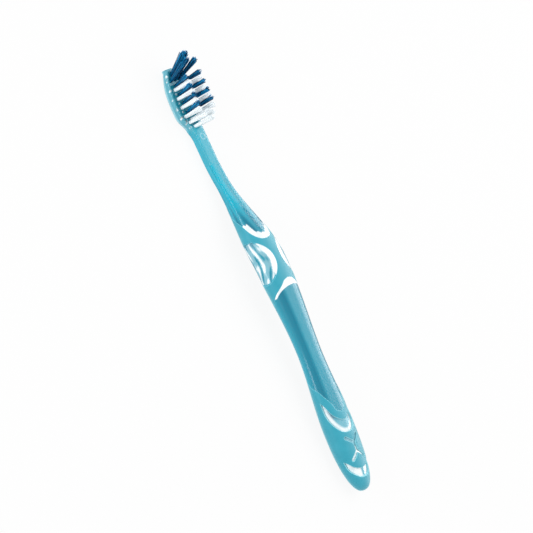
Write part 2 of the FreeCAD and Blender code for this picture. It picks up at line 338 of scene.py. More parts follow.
def gripDistance(station, turn):
    # Distance to the soft grip's edge in millimetres, positive on the rubber
    distance = station - grip["start"]
    openings = [mirrored(grip["neckOpening"]), mirrored(grip["panel"]), windowOutline(1), windowOutline(-1)]
    for outline in openings:
        distance = np.minimum(distance, outlineDistance(outline, station, turn))
    return np.minimum(distance, tailWindowDistance(station, turn))


# Clear body

body = {
    "plateThickness": 4.0, "headWidth": 12.0, "tipRadius": 3.3,
    "crown": 16.0, "flank": 19.0, "heelMiddle": 24.0,
    "backRound": 1.4, "tipRound": 0.8, "tipRoundEnd": 8.0, "tipRoundLength": 6.0, "faceRound": 0.5,
    "blend": 1.2, "blendLength": 5.0, "leastBlend": 1e-4,
    "plateSink": 1.5, "sinkLead": 2.0, "sinkLength": 6.0, "plateOverrun": 6.0,
    "turns": 144, "stationStep": 0.28, "tipZone": 2.0, "tipSteps": 14, "endZone": 10.0, "endSteps": 24,
    "searchReach": 1.6, "searchSteps": 40,
    "recess": 0.75, "recessLedge": 0.3, "recessRise": 0.6, "recessStart": 140.0,
    "leastCore": 0.5, "coreMargin": 0.01,
}


def planDistance(station, across):
    # Distance to the head's plan outline, which is built from arcs
    half = body["headWidth"] / 2
    tip = body["tipRadius"]
    crown = body["crown"]
    sideRadius = (crown ** 2 + half ** 2 - 2 * crown * tip) / (2 * (half - tip))
    tipEnd = tip - (crown - tip) * tip / (sideRadius - tip)
    root = form["rootWidth"] / 2
    drop = half - root
    heelRadius = ((form["neck"] - body["flank"]) ** 2 + drop ** 2) / (4 * drop)
    out = np.abs(across)
    onTip = np.hypot(station - tip, out) - tip
    onCrown = np.hypot(station - crown, out - half + sideRadius) - sideRadius
    onHeel = np.hypot(station - body["flank"], out - half + heelRadius) - heelRadius
    onRoot = heelRadius - np.hypot(station - form["neck"], out - root - heelRadius)
    limits = (tipEnd, crown, body["flank"], body["heelMiddle"], form["neck"])
    return np.select([station < limit for limit in limits],
                     [onTip, onCrown, out - half, onHeel, onRoot], out - root)


def plateDistance(station, across, height):
    # Distance to the head plate, rounded along its back and its face
    plan = planDistance(station, across)
    distance = np.full(plan.shape, -farAway)
    tipRound = body["tipRound"] * ease((body["tipRoundEnd"] - station) / body["tipRoundLength"])
    for edge, radius in ((-height, body["backRound"] + tipRound),
                         (height - body["plateThickness"], body["faceRound"])):
        reachPlan = plan + radius
        reachEdge = edge + radius
        rounded = np.hypot(np.maximum(reachPlan, 0), np.maximum(reachEdge, 0))
        distance = np.maximum(distance, rounded + np.minimum(np.maximum(reachPlan, reachEdge), 0) - radius)
    sinkStart = form["neck"] - body["sinkLead"]
    return distance + body["plateSink"] * ease((station - sinkStart) / body["sinkLength"])


def bodyDistance(station, across, height):
    # Distance to the head plate and the handle, blended where the neck leaves the plate
    halfWidth, halfDepth, axis = sectionSize(station)
    power = follow(form["powers"], station)
    stretch = np.abs(across / halfWidth) ** power + np.abs((height - axis) / halfDepth) ** power
    handle = (stretch ** (1 / power) - 1.0) * np.minimum(halfWidth, halfDepth)
    plate = plateDistance(station, across, height)
    blend = body["blend"] * ease((station - form["root"]) / body["blendLength"]) + body["leastBlend"]
    overlap = np.maximum(blend - np.abs(handle - plate), 0.0) / blend
    union = np.minimum(handle, plate) - overlap * overlap * blend / 4
    return np.where(station > form["neck"] + body["plateOverrun"], handle, union)


def bodyStations():
    # Closer together at the tip and at the tail's end
    tipZone, tipSteps = body["tipZone"], body["tipSteps"]
    endZone, endSteps = body["endZone"], body["endSteps"]
    tip = [tipZone * (index / tipSteps) ** 2 for index in range(1, tipSteps)]
    middle = list(np.arange(tipZone, form["end"] - endZone, body["stationStep"]))
    end = [form["end"] - endZone * (1 - index / endSteps) ** 2 for index in range(endSteps)]
    return np.array(tip + middle + end)


# Slanting waves of painted light and shade in a side window, for light bent by the clear plastic: strength,
# share of the main wave, pitch along the brush and phase
shardLight = {
    "turnPitch": 0.2, "sway": 2.2, "swayPitch": 0.3,
    "waves": [(1.0, 1.0, 0.0, 0.0), (0.6, 1.7, -0.35, 1.0), (0.4, 0.0, 0.9, 2.0)],
    "firstTurn": 30.0, "dim": 0.22, "gain": 0.68, "level": 0.35, "soft": 0.5, "gapSoft": 0.4, "gapLift": 2.5,
}


def windowShardLight(station, degrees):
    wave = degrees * shardLight["turnPitch"] + shardLight["sway"] * np.sin(station * shardLight["swayPitch"])
    return sum(strength * np.sin(wave * share + station * pitch + phase)
               for strength, share, pitch, phase in shardLight["waves"])


# Tint of the clear body, by station and by turn in degrees: 0 is the deepest and 1 the lightest. Its streaks,
# its broken tone in the side windows and its bands round the panel are painted light and shade from light
# bent and reflected by the clear plastic
tint = {
    "along": [(42.0, 0.88), (60.0, 0.55), (76.0, 0.16), (82.0, 0.8)], "soft": 2.0,
    "streak": 0.3, "streakTurn": 0.16, "streakPitch": 0.25,
    "streakStart": 58.0, "streakRise": 8.0, "streakEnd": 80.0,
    "windowStart": 78.0, "windowEnd": 98.0, "shardShare": 0.25, "shardRange": (-0.5, 0.2),
    "panelStart": 97.0,
    # Round the panel: painted shade in a dark band near 42 degrees and painted reflected light towards 125
    # degrees
    "panel": [(0.0, 0.5), (28.0, 0.5), (42.0, 0.05), (60.0, 0.15), (95.0, 0.65), (125.0, 0.9), (180.0, 0.5)],
    "tailStart": 157.0, "tail": 0.8,
}


def tintTone(station, degrees):
    out = np.abs(degrees)
    soft = tint["soft"]
    tone = follow(tint["along"], station)
    paintedStreaks = tint["streak"] * np.sin(out * tint["streakTurn"] + station * tint["streakPitch"])
    paintedStreaks = paintedStreaks * ease((station - tint["streakStart"]) / tint["streakRise"])
    tone = tone + paintedStreaks * ease((tint["streakEnd"] - station) / soft)
    shardLightAndShade = np.clip(windowShardLight(station, out) * tint["shardShare"], *tint["shardRange"])
    onWindow = ease((station - tint["windowStart"]) / soft) * ease((tint["windowEnd"] - station) / soft)
    tone = tone + shardLightAndShade * onWindow
    turns, tones = zip(*tint["panel"])
    onPanel = ease((station - tint["panelStart"]) / soft)
    tone = tone * (1.0 - onPanel) + onPanel * np.interp(out, turns, tones)
    onTail = ease((station - tint["tailStart"]) / soft)
    return tone * (1.0 - onTail) + onTail * tint["tail"]


# Tongue of colour that shows through the neck's shoulders, with its inner edge as station and turn
tongue = {
    "start": 43.0, "rise": 0.4, "end": 69.0, "fade": 8.0,
    "inner": [(43.0, 20.0), (64.0, 8.0)], "innerSoft": 3.0, "outer": 68.0, "outerSoft": 4.0,
}


def neckTongue(station, degrees):
    places, turns = zip(*tongue["inner"])
    out = np.abs(degrees)
    across = ease((out - np.interp(station, places, turns)) / tongue["innerSoft"] + 0.5)
    across = across * ease((tongue["outer"] - out) / tongue["outerSoft"] + 0.5)
    along = ease((station - tongue["start"]) / tongue["rise"])
    return across * along * ease((tongue["end"] - station) / tongue["fade"])


# Faint moulded ring on the bristle side of the neck, drawn only as a pale line: a painted highlight
mouldRing = {"place": 31.0, "radius": 1.25, "width": 0.16, "soft": 0.15, "strength": 0.3, "lift": 1.0}


def ringHighlight(station, across, up):
    away = np.abs(np.hypot(station - mouldRing["place"], across) - mouldRing["radius"])
    onTop = up > form["neckAxis"] + mouldRing["lift"]
    return mouldRing["strength"] * ease((mouldRing["width"] - away) / mouldRing["soft"] + 0.5) * onTop


# Roots and anchors of the outer tufts, which show through the edge of the clear plate and between the tufts.
# The white spots are the roots seen through it, lit up as painted glints of light bent by the plate, and the
# spots between the tufts are painted reflections on the face
rootGlint = {
    "size": 0.4, "sizeSpread": 0.2, "sizeWave": 2.1, "sizePhase": 1.0, "shift": 0.25, "shiftWave": 1.7,
    "slant": 0.5, "slantHeight": 3.4, "soft": 0.3, "lowest": 2.6, "rise": 0.5, "inset": 1.1, "insetSoft": 0.4,
    "betweenShare": 0.45, "betweenOut": 0.35, "betweenSize": 0.55, "faceDepth": 0.3,
}


def rootGlints(station, across, up):
    rows = [tuft["tipFirst"], tuft["tipFirst"] + tuft["tipPitch"],
            tuft["heelFirst"], tuft["heelFirst"] + tuft["heelPitch"]]
    rows += [tuft["whiteFirst"] + row * tuft["rowPitch"] for row in range(tuft["rows"])]
    mask = np.zeros(station.shape)
    for number, row in enumerate(rows):
        wave = math.sin(number * rootGlint["sizeWave"] + rootGlint["sizePhase"])
        size = rootGlint["size"] + rootGlint["sizeSpread"] * wave
        shift = rootGlint["shift"] * math.sin(number * rootGlint["shiftWave"])
        slanted = station - row + rootGlint["slant"] * (up - rootGlint["slantHeight"]) + shift
        mask = np.maximum(mask, ease((size - np.abs(slanted)) / rootGlint["soft"] + 0.5))
    inset = -planDistance(station, across)
    mask = mask * ease((up - rootGlint["lowest"]) / rootGlint["rise"])
    mask = mask * ease((rootGlint["inset"] - inset) / rootGlint["insetSoft"])
    onFace = up > body["plateThickness"] - rootGlint["faceDepth"]
    for row, offset in enumerate(tuft["whiteOffsets"]):
        place = tuft["whiteFirst"] + (row + rootGlint["betweenShare"]) * tuft["rowPitch"]
        away = np.hypot(station - place, np.abs(across) - offset - rootGlint["betweenOut"])
        mask = np.maximum(mask, ease((rootGlint["betweenSize"] - away) / rootGlint["soft"] + 0.5) * onFace)
    return mask


# White patches beside the rubber, in the side windows, the crescents and the groove: painted highlights,
# white where light bent by the clear plastic looks white
gleamPatches = {
    "soft": 0.25, "leastWidth": 0.05,
    "collarWidth": 2.5, "collarTurn": 63.0, "collarPower": 0.6, "collarStart": 66.0, "collarEnd": 80.0,
    "ragged": 0.16, "raggedWaves": (0.19, 0.43), "raggedWidth": 0.5,
    "panelPlace": 100.9, "panelRise": 3.2, "panelTurn": 73.0, "panelStart": 95.0, "panelEnd": 104.0,
    "windowWidth": 2.2, "windowPower": 0.8, "windowStart": 80.0, "windowEnd": 95.0, "windowTurn": 70.0,
    "crescentBase": 0.12, "tailPeak": 0.9, "tailBand": 2.2, "tailSoft": 1.2,
    "endPeak": 0.95, "endTurn": 8.0, "endSoft": 12.0,
    "grooveBase": 0.25, "grooveStart": 171.4, "grooveRise": 1.0,
}


def within(inside):
    # One inside an outline, with a soft border
    return ease(inside / gleamPatches["soft"] + 1.0)


def band(inside, width):
    # One within a width of an outline's inner edge, with soft borders
    return ease((width - inside) / gleamPatches["soft"] + 0.5) * within(inside)


def between(station, name):
    return (station > gleamPatches[name + "Start"]) & (station < gleamPatches[name + "End"])


def collarGleam(station, turn, degrees):
    first, second = gleamPatches["raggedWaves"]
    ragged = gleamPatches["ragged"] * (np.sin(degrees * first) + np.sin(degrees * second + station))
    inside = -outlineDistance(mirrored(grip["neckOpening"]), station, turn)
    share = np.clip((degrees / gleamPatches["collarTurn"] + 1.0) / 2, 0.0, 1.0)
    width = gleamPatches["collarWidth"] * np.sin(math.pi * share) ** gleamPatches["collarPower"]
    edge = band(inside, width + ragged * (width > gleamPatches["raggedWidth"]))
    return edge * (width > gleamPatches["leastWidth"]) * between(station, "collar")


def panelGleam(station, turn, degrees):
    inside = -outlineDistance(mirrored(grip["panel"]), station, turn)
    reach = gleamPatches["panelPlace"] + gleamPatches["panelRise"] * (degrees / gleamPatches["panelTurn"]) ** 2 - station
    return within(inside) * ease(reach / gleamPatches["soft"] + 0.5) * between(station, "panel")


def windowGleam(station, turn, degrees, side):
    inside = -outlineDistance(windowOutline(side), station, turn)
    out = side * degrees
    first, last = gleamPatches["windowStart"], gleamPatches["windowEnd"]
    share = np.clip((station - first) / (last - first), 0.0, 1.0)
    width = gleamPatches["windowWidth"] * np.sin(math.pi * share) ** gleamPatches["windowPower"]
    edge = band(inside, width) * (width > gleamPatches["leastWidth"]) * (out < gleamPatches["windowTurn"]) * (out > 0.0)
    # Inside the window the waves part into shards of painted light
    waves = windowShardLight(station, out)
    lit = shardLight["dim"] + shardLight["gain"] * ease((waves - shardLight["level"]) / shardLight["soft"])
    lit = lit * ease(waves / shardLight["gapSoft"] + shardLight["gapLift"]) * (out > shardLight["firstTurn"])
    return np.maximum(edge, ease(inside / gleamPatches["soft"] - 1.0) * lit)


def crescentGleam(station, turn, name, peak, share):
    inside = -outlineDistance(crescentOutline(grip[name]), station, turn)
    base = gleamPatches["crescentBase"]
    return within(inside) * (base + (peak - base) * share)


def paintedGleams(station, turn):
    degrees = np.degrees((turn + math.pi) % math.tau - math.pi)
    outer = -outlineDistance(mirrored(grip["tailCrescent"]["outer"]), station, turn)
    tailShare = ease((gleamPatches["tailBand"] - outer) / gleamPatches["tailSoft"])
    endShare = ease((np.abs(degrees) - gleamPatches["endTurn"]) / gleamPatches["endSoft"] + 0.5)
    grooveShare = ease((station - gleamPatches["grooveStart"]) / gleamPatches["grooveRise"])
    grooveShade = gleamPatches["grooveBase"] + (1.0 - gleamPatches["grooveBase"]) * grooveShare
    # Each mask below is a painted highlight
    masks = [
        collarGleam(station, turn, degrees),
        panelGleam(station, turn, degrees),
        windowGleam(station, turn, degrees, 1),
        windowGleam(station, turn, degrees, -1),
        crescentGleam(station, turn, "tailCrescent", gleamPatches["tailPeak"], tailShare),
        crescentGleam(station, turn, "endCrescent", gleamPatches["endPeak"], endShare),
        within(-grooveDistance(station, turn)) * grooveShade,
    ]
    return np.max(masks, axis=0)


# Zones of the head's plate and the start of the painted white highlights
zones = {
    "gleamsStart": 30.0, "plateEnd": 28.0, "plateFade": 3.0,
    "faceInset": 0.55, "faceSoft": 0.6, "faceDepth": 0.2, "rimInset": 0.35, "rimSoft": 0.5,
    "highlightHeight": 1.2, "highlightSoft": 1.2,
}


def bodyLayers(station, turn, across, up):
    # What the clear plastic's material reads at each point
    degrees = np.degrees(turn)
    # Painted highlights: white patches beside the rubber and in the windows, crescents and groove
    gleam = np.where(station > zones["gleamsStart"], paintedGleams(station, turn), 0.0)
    inset = -planDistance(station, across)
    onPlate = ease((zones["plateEnd"] - station) / zones["plateFade"])
    onFace = up > body["plateThickness"] - zones["faceDepth"]
    return {
        "glint": np.maximum(gleam, ringHighlight(station, across, up)),
        # Painted shade: the face between the tufts is darker, where the tufts keep the light off
        "shadedFace": ease((inset - zones["faceInset"]) / zones["faceSoft"]) * onFace * onPlate,
        "frost": (1.0 - ease((inset - zones["rimInset"]) / zones["rimSoft"])) * onPlate,
        "tone": tintTone(station, degrees),
        "strip": neckTongue(station, degrees),
        "rootGlintMask": rootGlints(station, across, up) * onPlate,
        # Painted highlight: the rim is paler towards its back edge
        "rimHighlightMask": 1.0 - ease((up - zones["highlightHeight"]) / zones["highlightSoft"]),
    }


def clearBody(material):
    stations = bodyStations()
    turns = (np.arange(body["turns"]) - body["turns"] / 2) * math.tau / body["turns"]
    station, turn = np.meshgrid(stations, turns, indexing="ij")
    halfWidth, halfDepth, axis = sectionSize(station)
    onHead = station < form["neck"]
    reachWidth = np.where(onHead, np.maximum(halfWidth, body["headWidth"] / 2), halfWidth)
    reachDepth = np.where(onHead, np.maximum(halfDepth, body["plateThickness"] / 2), halfDepth)
    sine, cosine = unitSection(turn, follow(form["powers"], station))
    low = np.zeros(station.shape)
    high = np.full(station.shape, body["searchReach"])
    for step in range(body["searchSteps"]):
        middle = (low + high) / 2
        outside = bodyDistance(station, -reachWidth * middle * sine, axis + reachDepth * middle * cosine) > 0
        high = np.where(outside, middle, high)
        low = np.where(outside, low, middle)
    window = tailWindowDistance(station, turn)
    depth = body["recess"] * (1.0 - ease((window - body["recessLedge"]) / body["recessRise"]))
    depth = np.where(station > body["recessStart"], depth, 0.0)
    core = np.maximum(np.minimum(halfWidth, halfDepth), body["leastCore"])
    scale = low * (1.0 - depth / core.clip(depth + body["coreMargin"]))
    across = -reachWidth * scale * sine
    up = np.maximum(axis + reachDepth * scale * cosine, 0.0)
    points = np.stack([station, across, up], -1).reshape(-1, 3).tolist()
    count = body["turns"]
    faces = []
    for ring in range(len(stations) - 1):
        for index in range(count):
            following = (index + 1) % count
            faces.append((ring * count + index, ring * count + following,
                          (ring + 1) * count + following, (ring + 1) * count + index))
    first = len(points)
    points.append([0.0, 0.0, form["rootAxis"]])
    points.append([form["end"], 0.0, form["buttAxis"]])
    last = (len(stations) - 1) * count
    for index in range(count):
        following = (index + 1) % count
        faces.append((first, following, index))
        faces.append((first + 1, last + index, last + following))
    piece = meshPiece("clearBody", points, faces, material, "handle_body")
    for name, mask in bodyLayers(station, turn, across, up).items():
        layer = piece.data.attributes.new(name, "FLOAT", "POINT")
        layer.data.foreach_set("value", np.append(mask.ravel(), [0.0, 0.0]).astype(np.float32))
    return piece


def softGrip(material, innerMaterial):
    step = grip["stationStep"]
    zone, steps = grip["endZone"], grip["endSteps"]
    middle = list(np.arange(grip["start"] - 2 * step, form["end"] - zone, step))
    end = [form["end"] - zone * (1 - index / steps) ** 2 for index in range(steps + 1)]
    stations = np.array(middle + end)
    count = int(360 / grip["turnStep"])
    turns = (np.arange(count) - count / 2) * math.tau / count
    station, turn = np.meshgrid(stations, turns, indexing="ij")
    edge = gripDistance(station, turn)
    vertices = []
    index = {}

    def corner(row, column):
        key = (row, column)
        if key not in index:
            index[key] = len(vertices)
            vertices.append((stations[row], turns[column], edge[row, column]))
        return index[key]

    def crossing(first, second):
        key = (first, second) if first < second else (second, first)
        if key not in index:
            (row0, column0), (row1, column1) = key
            share = edge[row0, column0] / (edge[row0, column0] - edge[row1, column1])
            turnGap = (turns[column1] - turns[column0] + math.pi) % math.tau - math.pi
            index[key] = len(vertices)
            vertices.append((stations[row0] + (stations[row1] - stations[row0]) * share,
                             turns[column0] + turnGap * share, 0.0))
        return index[key]

    tops = []
    walls = []
    for row in range(len(stations) - 1):
        for column in range(count):
            following = (column + 1) % count
            cell = [(row, column), (row, following), (row + 1, following), (row + 1, column)]
            inside = [edge[place] > 0 for place in cell]
            if not any(inside):
                continue
            polygon = []
            exits = []
            for side in range(4):
                here, there = cell[side], cell[(side + 1) % 4]
                if inside[side]:
                    polygon.append(corner(*here))
                if inside[side] != inside[(side + 1) % 4]:
                    polygon.append(crossing(here, there))
                    exits.append((polygon[-1], inside[side]))
            if len(polygon) > 2:
                tops.append(polygon)
            if len(exits) == 2:
                leaving = exits[0][0] if exits[0][1] else exits[1][0]
                entering = exits[1][0] if exits[0][1] else exits[0][0]
                walls.append((leaving, entering))
    table = np.array(vertices)
    lip = np.clip(1.0 - table[:, 2] / grip["beadRadius"], 0.0, 1.0)
    proud = grip["proud"] - grip["bead"] * (1.0 - np.sqrt(1.0 - lip * lip))
    outer = handlePoint(table[:, 0], table[:, 1], proud)
    inner = handlePoint(table[:, 0], table[:, 1], np.full(len(table), -grip["wall"]))
    cap = ease((table[:, 0] - grip["capStart"]) / (form["end"] - grip["capStart"]))
    outer[:, 0] += grip["proud"] * cap
    inner[:, 0] -= grip["wall"] * cap
    size = len(table)
    faces = [tuple(polygon) for polygon in tops]
    faces += [tuple(reversed([place + size for place in polygon])) for polygon in tops]
    faces += [(entering, leaving, leaving + size, entering + size) for leaving, entering in walls]
    piece = meshPiece("softGrip", np.vstack([outer, inner]), faces, material, "soft_grip")
    piece.data.materials.append(innerMaterial)
    piece.data.polygons.foreach_set("material_index", [0] * len(tops) + [1] * len(tops) + [0] * len(walls))
    thin = piece.data.attributes.new("edgeDistance", "FLOAT", "POINT")
    thin.data.foreach_set("value", np.concatenate([table[:, 2], table[:, 2]]).astype(np.float32))
    return piece


# Tufts

tuft = {
    "filaments": 34, "filamentDiameter": 0.27, "sides": 6, "baseRadius": 0.64, "tipRadius": 0.96,
    "tipFlare": 1.28, "buried": 2.4, "sway": 0.19, "lengthSpread": 0.055, "edgeDrop": 0.03, "turnSpread": 0.2,
    "face": 4.0, "places": (0.0, 0.35, 0.7, 1.0), "spreadPower": 1.5,
    "roundEnd": [(0.8, 1.0), (0.25, 0.75), (0.0, 0.2)],  # depth and width, as shares of the radius
    "rows": 4, "rowPitch": 3.9,
    "blueFirst": 7.7, "blueOffset": 1.15, "blueLength": 11.6, "blueLean": 5.0, "blueSplay": 15.0,
    "whiteFirst": 9.3, "whiteOffsets": [2.63, 3.07, 3.24, 3.36], "whiteLength": 10.9, "whiteLean": 0.0,
    "whiteSplay": 3.0,
    "heelFirst": 23.8, "heelPitch": 2.2, "heelEdge": 2.45, "heelEnd": 1.06,
    "heelInner": 22.9, "heelInnerOffset": 0.9, "heelLength": 10.6, "heelLean": 0.0,
    "tipFirst": 2.9, "tipPitch": 2.3, "tipPair": 0.95, "tipLength": 12.6, "tipLean": 25.0,
    "tipSide": 2.4, "tipSideLean": 17.0, "tipSideSplay": 6.0,
}


def tuftPlaces():
    # Node, station, place across, length, lean to the tip and outward splay of every tuft
    places = []
    second = tuft["tipFirst"] + tuft["tipPitch"]
    for side, word in ((-1, "left"), (1, "right")):
        places.append(("tip_tuft_" + word, tuft["tipFirst"], side * tuft["tipPair"],
                       tuft["tipLength"], tuft["tipLean"], 0.0))
        places.append(("tip_side_tuft_" + word, second, side * tuft["tipSide"],
                       tuft["tipLength"], tuft["tipSideLean"], side * tuft["tipSideSplay"]))
        for row in range(tuft["rows"]):
            places.append((f"blue_tuft_{word}_{row + 1}", tuft["blueFirst"] + row * tuft["rowPitch"],
                           side * tuft["blueOffset"], tuft["blueLength"], tuft["blueLean"],
                           side * tuft["blueSplay"]))
        for row in range(tuft["rows"]):
            places.append((f"white_tuft_{word}_{row + 1}", tuft["whiteFirst"] + row * tuft["rowPitch"],
                           side * tuft["whiteOffsets"][row], tuft["whiteLength"], tuft["whiteLean"],
                           side * tuft["whiteSplay"]))
        heels = [(tuft["heelFirst"], tuft["heelEdge"]),
                 (tuft["heelFirst"] + tuft["heelPitch"], tuft["heelEnd"]),
                 (tuft["heelInner"], tuft["heelInnerOffset"])]
        for number, (station, offset) in enumerate(heels):
            places.append((f"heel_tuft_{word}_{number + 1}", station, side * offset,
                           tuft["heelLength"], tuft["heelLean"], 0.0))
    places.append(("tip_middle_tuft", second, 0.0, tuft["tipLength"], tuft["tipLean"], 0.0))
    return places


def filament(length, angle, share, flare, chance):
    # Centre line of one filament about the tuft's own axis, with its radius at each place
    spread = tuft["lengthSpread"] * chance.uniform(-1.0, 1.0)
    reach = length * (1.0 + spread - tuft["edgeDrop"] * share * share)
    swayX = tuft["sway"] * chance.gauss(0.0, 1.0)
    swayY = tuft["sway"] * chance.gauss(0.0, 1.0)
    radius = tuft["filamentDiameter"] / 2
    base = tuft["baseRadius"]
    tip = flare * tuft["tipRadius"]
    line = []
    for along in tuft["places"]:
        out = (base + (tip - base) * along ** tuft["spreadPower"]) * share
        bend = along * along
        line.append((out * math.cos(angle) + swayX * bend, out * math.sin(angle) + swayY * bend,
                     -tuft["buried"] + (reach + tuft["buried"]) * along, radius))
    x, y, z, radius = line.pop()
    line += [(x, y, z - radius * depth, radius * width) for depth, width in tuft["roundEnd"]]
    return line


def bristleTuft(place, material, chance):
    node, station, across, length, lean, splay = place
    stand = (Matrix.Translation((station, across, tuft["face"]))
             @ Matrix.Rotation(math.radians(-lean), 4, "Y") @ Matrix.Rotation(math.radians(-splay), 4, "X"))
    points = []
    faces = []
    sides = tuft["sides"]
    golden = math.pi * (3.0 - math.sqrt(5.0))
    flare = tuft["tipFlare"] if node.startswith("tip") else 1.0
    for number in range(tuft["filaments"]):
        share = math.sqrt((number + 0.5) / tuft["filaments"])
        angle = golden * number + chance.uniform(-tuft["turnSpread"], tuft["turnSpread"])
        line = filament(length, angle, share, flare, chance)
        first = len(points)
        for x, y, z, radius in line:
            for side in range(sides):
                turn = math.tau * side / sides
                corner = stand @ Vector((x + radius * math.cos(turn), y + radius * math.sin(turn), z))
                points.append(tuple(corner))
        rings = len(line)
        for ring in range(rings - 1):
            for side in range(sides):
                following = (side + 1) % sides
                faces.append((first + ring * sides + side, first + ring * sides + following,
                              first + (ring + 1) * sides + following, first + (ring + 1) * sides + side))
        faces.append(tuple(first + side for side in reversed(range(sides))))
        faces.append(tuple(first + (rings - 1) * sides + side for side in range(sides)))
    return meshPiece("bristles_" + node, points, faces, material, node)


# Materials

white = (1.0, 1.0, 1.0, 1.0)
evenly = (1.0, 1.0, 1.0)  # a noise that isn't stretched

clearPlastic = {
    "haze": 0.74, "deep": srgb(0, 120, 146), "light": srgb(68, 189, 210), "tongue": srgb(0, 172, 196),
    "hazeRoughness": 0.17, "hazeSpecular": 0.35, "glassRoughness": 0.12, "refraction": 1.49,
    "rippleScale": 60.0, "rippleGrain": (0.3, 1.0, 1.0), "rippleRoughness": 0.05,
    "rippleBump": 0.02, "rippleHeight": 0.0002,
    # Colours of the painted white highlights
    "gleamDim": srgb(226, 235, 238), "gleamBright": srgb(252, 252, 252), "gleamRoughness": 0.25,
    "gleamShare": 0.95, "cloudScale": 420.0, "cloudGrain": (0.5, 1.0, 1.0), "cloudSpan": (0.35, 0.6),
    "faceShadeDark": srgb(0, 112, 134), "faceShadeLight": srgb(14, 128, 150), "faceRoughness": 0.12, "faceShadeShare": 0.8,
    "rim": srgb(98, 168, 185), "rimHighlight": srgb(176, 220, 230), "rimRoughness": 0.15, "rimShare": 0.7,
    # Painted glints at the tuft roots, with brown specks for the anchors
    "spotShare": 0.8, "spotGrain": (0.6, 1.0, 1.0),
    "root": srgb(250, 252, 252), "rootGlintScale": 1100.0, "rootGlintSpan": (0.47, 0.56),
    "anchor": srgb(112, 84, 76), "anchorScale": 900.0, "anchorSpan": (0.58, 0.64),
    "shadow": (0.75, 0.95, 0.97, 1.0), "depthColour": (0.05, 0.70, 0.77, 1.0), "density": 500.0,
}


def clearMaterial():
    look = clearPlastic
    shader = Shader(bpy.data.materials.new("clearTealPlastic"))
    ripple = shader.noise(look["rippleScale"], 1.0, look["rippleGrain"])
    glass = shader.principled({
        "Base Color": white, "Roughness": look["glassRoughness"], "IOR": look["refraction"],
        "Transmission Weight": 1.0, "Normal": shader.bump(ripple, look["rippleBump"], look["rippleHeight"])})
    # The tone holds the tint with its painted streaks and bands of light and shade
    teal = shader.mix(shader.attribute("tone"), look["deep"], look["light"])
    haze = shader.principled({
        "Base Color": shader.mix(shader.attribute("strip"), teal, look["tongue"]),
        "Roughness": ripple * look["rippleRoughness"] + look["hazeRoughness"],
        "Specular IOR Level": look["hazeSpecular"]})
    # Painted highlight: white patches where light bent by the clear plastic looks white, broken by cloud
    # noise
    cloud = shader.noise(look["cloudScale"], 2.0, look["cloudGrain"]).smooth(*look["cloudSpan"])
    gleam = shader.principled({
        "Base Color": shader.mix(cloud, look["gleamDim"], look["gleamBright"]),
        "Roughness": look["gleamRoughness"]})
    # Painted shade on the face between the tufts
    face = shader.principled({
        "Base Color": shader.mix(ripple, look["faceShadeDark"], look["faceShadeLight"]),
        "Roughness": look["faceRoughness"]})
    # White spots: the tuft roots seen through the rim, made into painted glints; brown specks: the brass
    # anchors seen through it
    rootsAndGlints = shader.noise(look["rootGlintScale"], 1.0, look["spotGrain"]).smooth(*look["rootGlintSpan"])
    anchors = shader.noise(look["anchorScale"], 1.0, look["spotGrain"]).smooth(*look["anchorSpan"])
    spots = shader.attribute("rootGlintMask")
    # Painted highlight along the rim's back edge
    rimColour = shader.mix(shader.attribute("rimHighlightMask"), look["rim"], look["rimHighlight"])
    rimColour = shader.mix(spots * rootsAndGlints, rimColour, look["root"])
    rimColour = shader.mix(spots * anchors, rimColour, look["anchor"])
    rim = shader.principled({"Base Color": rimColour, "Roughness": look["rimRoughness"]})
    rimShare = shader.attribute("frost") * (1.0 - spots) * look["rimShare"] + spots * look["spotShare"]
    surface = shader.layer(look["haze"], glass, haze)
    surface = shader.layer(shader.attribute("shadedFace") * look["faceShadeShare"], surface, face)
    surface = shader.layer(rimShare, surface, rim)
    surface = shader.layer(shader.attribute("glint") * look["gleamShare"], surface, gleam)
    clear = shader.node("ShaderNodeBsdfTransparent", {}, {"Color": look["shadow"]})
    shadowRay = shader.node("ShaderNodeLightPath", {}, {}, "Is Shadow Ray")
    volume = shader.node("ShaderNodeVolumeAbsorption", {}, {
        "Color": look["depthColour"], "Density": look["density"]})
    return shader.output({"Surface": shader.layer(shadowRay, surface, clear), "Volume": volume})


# The rubber is paler within a fraction of a millimetre of its edges: a painted highlight on the rounded bead
softRubber = {
    "deep": srgb(34, 146, 167), "light": srgb(50, 160, 181), "rim": srgb(140, 208, 220),
    "edgeHighlightSpan": (0.03, 0.3), "mottleScale": 260.0, "roughness": 0.42, "mottleRoughness": 0.1, "specular": 0.3,
    "grainScale": 2600.0, "grainBump": 0.15, "grainHeight": 0.00004,
    "sheen": 1.0, "sheenRoughness": 0.5, "sheenTint": (0.6, 0.95, 1.0, 1.0),
}


def rubberMaterial():
    look = softRubber
    shader = Shader(bpy.data.materials.new("softTurquoiseRubber"))
    mottle = shader.noise(look["mottleScale"], 3.0, evenly)
    grain = shader.noise(look["grainScale"], 2.0, evenly)
    # Painted highlight along the rubber's edges
    rim = shader.attribute("edgeDistance").smooth(*look["edgeHighlightSpan"])
    colour = shader.mix(rim, look["rim"], shader.mix(mottle, look["deep"], look["light"]))
    surface = shader.principled({
        "Base Color": colour, "Roughness": mottle * look["mottleRoughness"] + look["roughness"],
        "Normal": shader.bump(grain, look["grainBump"], look["grainHeight"]),
        "Sheen Weight": look["sheen"], "Sheen Roughness": look["sheenRoughness"],
        "Sheen Tint": look["sheenTint"], "Specular IOR Level": look["specular"]})
    return shader.output({"Surface": surface})


